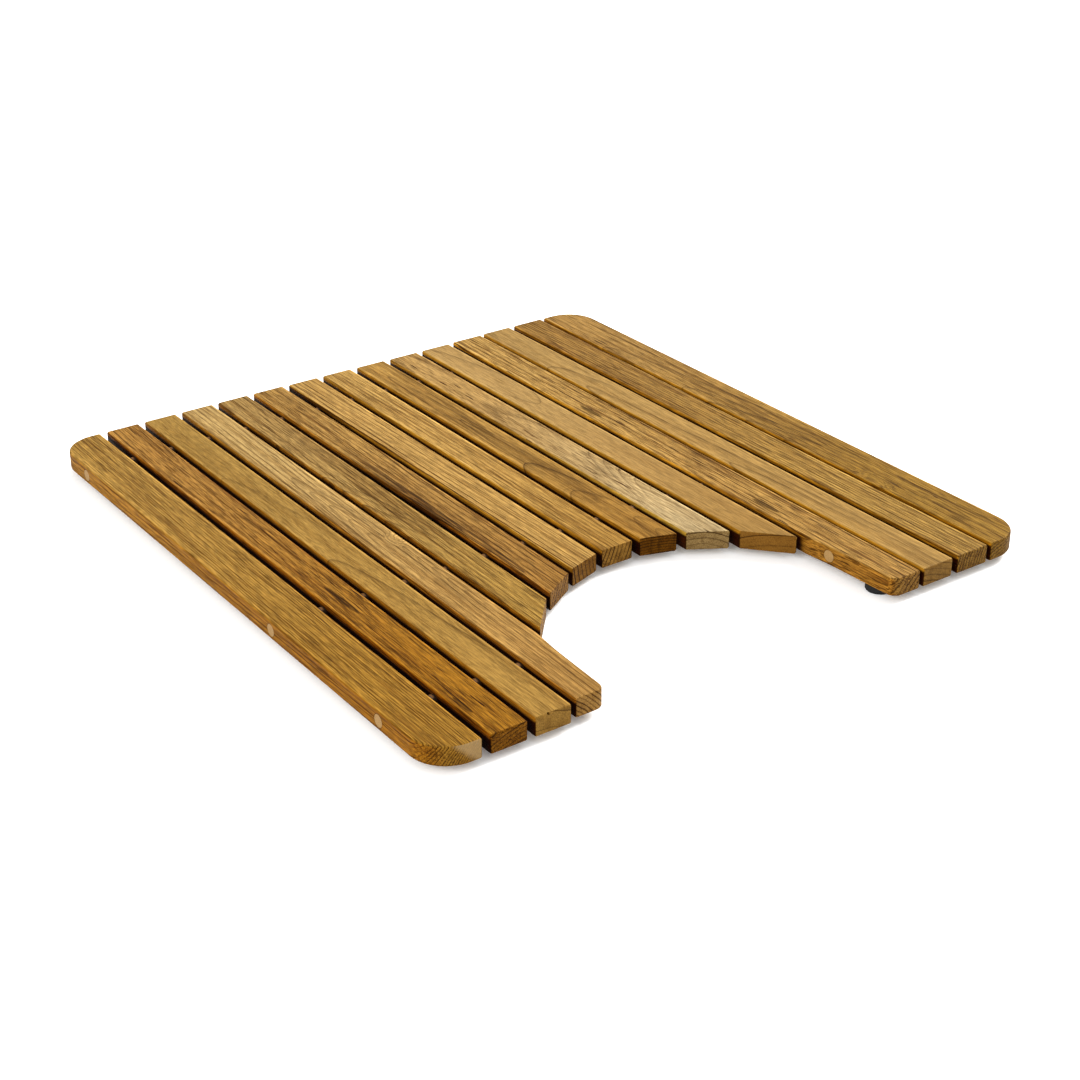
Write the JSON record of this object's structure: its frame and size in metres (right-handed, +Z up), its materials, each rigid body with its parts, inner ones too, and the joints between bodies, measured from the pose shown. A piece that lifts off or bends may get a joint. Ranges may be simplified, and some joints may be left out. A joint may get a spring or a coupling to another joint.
{
  "type": "bath mat",
  "caption": "Slatted wooden bath mat on low rubber feet, its slats strung on dowels, with a rounded bay in the front edge to fit round a pedestal.",
  "frame": {"origin": "on the floor, under the middle of the mat's outline", "axes": "+X across the slats, -Y towards the front edge with the cut-out, +Z up"},
  "size_m": [0.5588, 0.6096, 0.0219],
  "materials": {
    "teak": "oiled, open-pored, edges eased",
    "dowel_wood": "oiled, paler than the slats, sawn end grain",
    "foot_rubber": "matt black",
    "screw_steel": "plain stainless"
  },
  "bodies": {
    "root": {"slat_01": "teak", "slat_02": "teak", "slat_03": "teak", "slat_04": "teak", "slat_05": "teak", "slat_06": "teak", "slat_07": "teak", "slat_08": "teak", "slat_09": "teak", "slat_10": "teak", "slat_11": "teak", "slat_12": "teak", "slat_13": "teak", "slat_14": "teak", "slat_15": "teak", "dowel_back": "dowel_wood", "dowel_middle": "dowel_wood", "dowel_front_left": "dowel_wood", "dowel_front_right": "dowel_wood", "foot_cutout": "foot_rubber", "foot_back_middle": "foot_rubber", "foot_front_inner_left": "foot_rubber", "foot_front_inner_right": "foot_rubber", "foot_front_outer_left": "foot_rubber", "foot_front_outer_right": "foot_rubber", "foot_side_left": "foot_rubber", "foot_side_right": "foot_rubber", "foot_back_left": "foot_rubber", "foot_back_right": "foot_rubber", "foot_screws": "screw_steel"}
  },
  "joints": []
}
